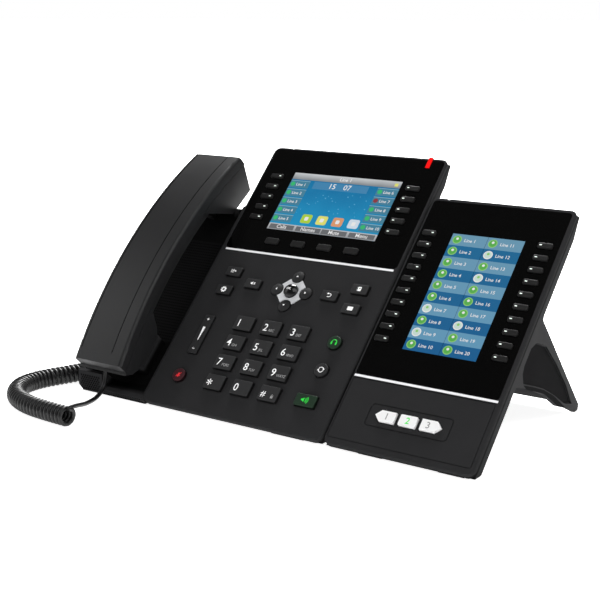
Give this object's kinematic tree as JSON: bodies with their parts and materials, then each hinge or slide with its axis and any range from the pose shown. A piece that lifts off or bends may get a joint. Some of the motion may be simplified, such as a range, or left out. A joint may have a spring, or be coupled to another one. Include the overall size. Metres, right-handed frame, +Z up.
{
  "type": "desk telephone",
  "caption": "Desk telephone with a corded handset in a side cradle, a colour screen over a dial keypad, and a joined key module with its own tall screen.",
  "frame": {"origin": "centre of the base of the box round the telephone and its module, on the surface it stands on, without the cord", "axes": "+X to the user's right along the front edge, +Y away from the user, +Z up"},
  "size_m": [0.3611, 0.2403, 0.1708],
  "materials": {
    "housing": "fine-textured dark grey moulding",
    "gloss_panel": "polished black acrylic",
    "display": "lit colour screen behind glass",
    "alert_light": "red light guide",
    "navigation_plate": "bright brushed metal",
    "key_mat": "grey silicone",
    "loudspeaker": "black frame and cone",
    "trim": "bright white strip",
    "circuit_board": "green solder mask",
    "screws": "plated steel",
    "rubber_feet": "matte black rubber",
    "plug": "clear grey plastic",
    "cord": "satin black cord jacket",
    "handset": "satin dark grey moulding",
    "keys": "dark grey with pale legends",
    "line_keys": "dark grey, slightly shiny",
    "page_keys": "white translucent plastic"
  },
  "bodies": {
    "root": {"front_housing": "housing", "rear_housing": "housing", "display_panel": "gloss_panel", "display_module": "display", "alert_light": "alert_light", "navigation_plate": "navigation_plate", "key_mat": "key_mat", "loudspeaker": "loudspeaker", "stand": "housing", "module_front_housing": "housing", "module_rear_housing": "housing", "module_display_panel": "gloss_panel", "module_display": "display", "module_stand": "housing", "trim_strips": "trim", "circuit_boards": "circuit_board", "housing_screws": "screws", "rubber_feet": "rubber_feet", "base_plug": "plug", "cord_lead": "cord", "cord_coil": "cord", "cord_tail": "cord"},
    "handset": {"handset_back": "handset", "handset_front": "handset", "receiver_capsules": "loudspeaker"},
    "hook_switch": {"hook_switch": "keys"},
    "volume_rocker": {"volume_rocker": "keys"},
    "key_1": {"key_1": "keys"},
    "key_2": {"key_2": "keys"},
    "key_3": {"key_3": "keys"},
    "key_4": {"key_4": "keys"},
    "key_5": {"key_5": "keys"},
    "key_6": {"key_6": "keys"},
    "key_7": {"key_7": "keys"},
    "key_8": {"key_8": "keys"},
    "key_9": {"key_9": "keys"},
    "key_star": {"key_star": "keys"},
    "key_0": {"key_0": "keys"},
    "key_hash": {"key_hash": "keys"},
    "key_transfer": {"key_transfer": "keys"},
    "key_settings": {"key_settings": "keys"},
    "key_silence": {"key_silence": "keys"},
    "key_return": {"key_return": "keys"},
    "key_directory": {"key_directory": "keys"},
    "key_message": {"key_message": "keys"},
    "key_speaker": {"key_speaker": "keys"},
    "key_microphone_off": {"key_microphone_off": "keys"},
    "key_headset": {"key_headset": "keys"},
    "key_redial": {"key_redial": "keys"},
    "key_right": {"key_right": "keys"},
    "key_up": {"key_up": "keys"},
    "key_left": {"key_left": "keys"},
    "key_down": {"key_down": "keys"},
    "key_ok": {"key_ok": "keys"},
    "key_page_1": {"key_page_1": "page_keys"},
    "key_page_2": {"key_page_2": "page_keys"},
    "key_page_3": {"key_page_3": "page_keys"},
    "line_keys": {"line_keys": "line_keys"},
    "soft_keys": {"soft_keys": "line_keys"},
    "module_line_keys": {"module_line_keys": "line_keys"}
  },
  "joints": [
    {"name": "lift_handset", "type": "slide", "parent": "root", "child": "handset", "axis": [0, -0.7071, 0.7071], "range_m": [0, 0.06]},
    {"name": "rock_volume", "type": "hinge", "parent": "root", "child": "volume_rocker", "pos_m": [-0.078, -0.03666, 0.04487], "axis": [1, 0, 0], "range_deg": [-2, 2], "stiffness_Nm_per_rad": 0.12},
    {"name": "hook_rise", "type": "slide", "parent": "root", "child": "hook_switch", "axis": [0, -0.7071, 0.7071], "range_m": [0, 0.0035]},
    {"name": "press_line_keys", "type": "slide", "parent": "root", "child": "line_keys", "axis": [0, 0.7071, -0.7071], "range_m": [0, 0.001], "stiffness_N_per_m": 350},
    {"name": "press_soft_keys", "type": "slide", "parent": "root", "child": "soft_keys", "axis": [0, 0.7071, -0.7071], "range_m": [0, 0.001], "stiffness_N_per_m": 350},
    {"name": "press_module_line_keys", "type": "slide", "parent": "root", "child": "module_line_keys", "axis": [0, 0.7071, -0.7071], "range_m": [0, 0.001], "stiffness_N_per_m": 350},
    {"name": "press_1", "type": "slide", "parent": "root", "child": "key_1", "axis": [0, 0.7071, -0.7071], "range_m": [0, 0.001], "stiffness_N_per_m": 350},
    {"name": "press_2", "type": "slide", "parent": "root", "child": "key_2", "axis": [0, 0.7071, -0.7071], "range_m": [0, 0.001], "stiffness_N_per_m": 350},
    {"name": "press_3", "type": "slide", "parent": "root", "child": "key_3", "axis": [0, 0.7071, -0.7071], "range_m": [0, 0.001], "stiffness_N_per_m": 350},
    {"name": "press_4", "type": "slide", "parent": "root", "child": "key_4", "axis": [0, 0.7071, -0.7071], "range_m": [0, 0.001], "stiffness_N_per_m": 350},
    {"name": "press_5", "type": "slide", "parent": "root", "child": "key_5", "axis": [0, 0.7071, -0.7071], "range_m": [0, 0.001], "stiffness_N_per_m": 350},
    {"name": "press_6", "type": "slide", "parent": "root", "child": "key_6", "axis": [0, 0.7071, -0.7071], "range_m": [0, 0.001], "stiffness_N_per_m": 350},
    {"name": "press_7", "type": "slide", "parent": "root", "child": "key_7", "axis": [0, 0.7071, -0.7071], "range_m": [0, 0.001], "stiffness_N_per_m": 350},
    {"name": "press_8", "type": "slide", "parent": "root", "child": "key_8", "axis": [0, 0.7071, -0.7071], "range_m": [0, 0.001], "stiffness_N_per_m": 350},
    {"name": "press_9", "type": "slide", "parent": "root", "child": "key_9", "axis": [0, 0.7071, -0.7071], "range_m": [0, 0.001], "stiffness_N_per_m": 350},
    {"name": "press_star", "type": "slide", "parent": "root", "child": "key_star", "axis": [0, 0.7071, -0.7071], "range_m": [0, 0.001], "stiffness_N_per_m": 350},
    {"name": "press_0", "type": "slide", "parent": "root", "child": "key_0", "axis": [0, 0.7071, -0.7071], "range_m": [0, 0.001], "stiffness_N_per_m": 350},
    {"name": "press_hash", "type": "slide", "parent": "root", "child": "key_hash", "axis": [0, 0.7071, -0.7071], "range_m": [0, 0.001], "stiffness_N_per_m": 350},
    {"name": "press_transfer", "type": "slide", "parent": "root", "child": "key_transfer", "axis": [0, 0.7071, -0.7071], "range_m": [0, 0.001], "stiffness_N_per_m": 350},
    {"name": "press_settings", "type": "slide", "parent": "root", "child": "key_settings", "axis": [0, 0.7071, -0.7071], "range_m": [0, 0.001], "stiffness_N_per_m": 350},
    {"name": "press_silence", "type": "slide", "parent": "root", "child": "key_silence", "axis": [0, 0.7071, -0.7071], "range_m": [0, 0.001], "stiffness_N_per_m": 350},
    {"name": "press_return", "type": "slide", "parent": "root", "child": "key_return", "axis": [0, 0.7071, -0.7071], "range_m": [0, 0.001], "stiffness_N_per_m": 350},
    {"name": "press_directory", "type": "slide", "parent": "root", "child": "key_directory", "axis": [0, 0.7071, -0.7071], "range_m": [0, 0.001], "stiffness_N_per_m": 350},
    {"name": "press_message", "type": "slide", "parent": "root", "child": "key_message", "axis": [0, 0.7071, -0.7071], "range_m": [0, 0.001], "stiffness_N_per_m": 350},
    {"name": "press_speaker", "type": "slide", "parent": "root", "child": "key_speaker", "axis": [0, 0.7071, -0.7071], "range_m": [0, 0.001], "stiffness_N_per_m": 350},
    {"name": "press_microphone_off", "type": "slide", "parent": "root", "child": "key_microphone_off", "axis": [0, 0.7071, -0.7071], "range_m": [0, 0.001], "stiffness_N_per_m": 350},
    {"name": "press_headset", "type": "slide", "parent": "root", "child": "key_headset", "axis": [0, 0.7071, -0.7071], "range_m": [0, 0.001], "stiffness_N_per_m": 350},
    {"name": "press_redial", "type": "slide", "parent": "root", "child": "key_redial", "axis": [0, 0.7071, -0.7071], "range_m": [0, 0.001], "stiffness_N_per_m": 350},
    {"name": "press_right", "type": "slide", "parent": "root", "child": "key_right", "axis": [0, 0.7071, -0.7071], "range_m": [0, 0.001], "stiffness_N_per_m": 350},
    {"name": "press_up", "type": "slide", "parent": "root", "child": "key_up", "axis": [0, 0.7071, -0.7071], "range_m": [0, 0.001], "stiffness_N_per_m": 350},
    {"name": "press_left", "type": "slide", "parent": "root", "child": "key_left", "axis": [0, 0.7071, -0.7071], "range_m": [0, 0.001], "stiffness_N_per_m": 350},
    {"name": "press_down", "type": "slide", "parent": "root", "child": "key_down", "axis": [0, 0.7071, -0.7071], "range_m": [0, 0.001], "stiffness_N_per_m": 350},
    {"name": "press_ok", "type": "slide", "parent": "root", "child": "key_ok", "axis": [0, 0.7071, -0.7071], "range_m": [0, 0.001], "stiffness_N_per_m": 350},
    {"name": "press_page_1", "type": "slide", "parent": "root", "child": "key_page_1", "axis": [0, 0.7071, -0.7071], "range_m": [0, 0.001], "stiffness_N_per_m": 350},
    {"name": "press_page_2", "type": "slide", "parent": "root", "child": "key_page_2", "axis": [0, 0.7071, -0.7071], "range_m": [0, 0.001], "stiffness_N_per_m": 350},
    {"name": "press_page_3", "type": "slide", "parent": "root", "child": "key_page_3", "axis": [0, 0.7071, -0.7071], "range_m": [0, 0.001], "stiffness_N_per_m": 350}
  ],
  "couplings": [
    {"joint": "hook_rise", "follows": "lift_handset", "ratio": 0.0583}
  ]
}
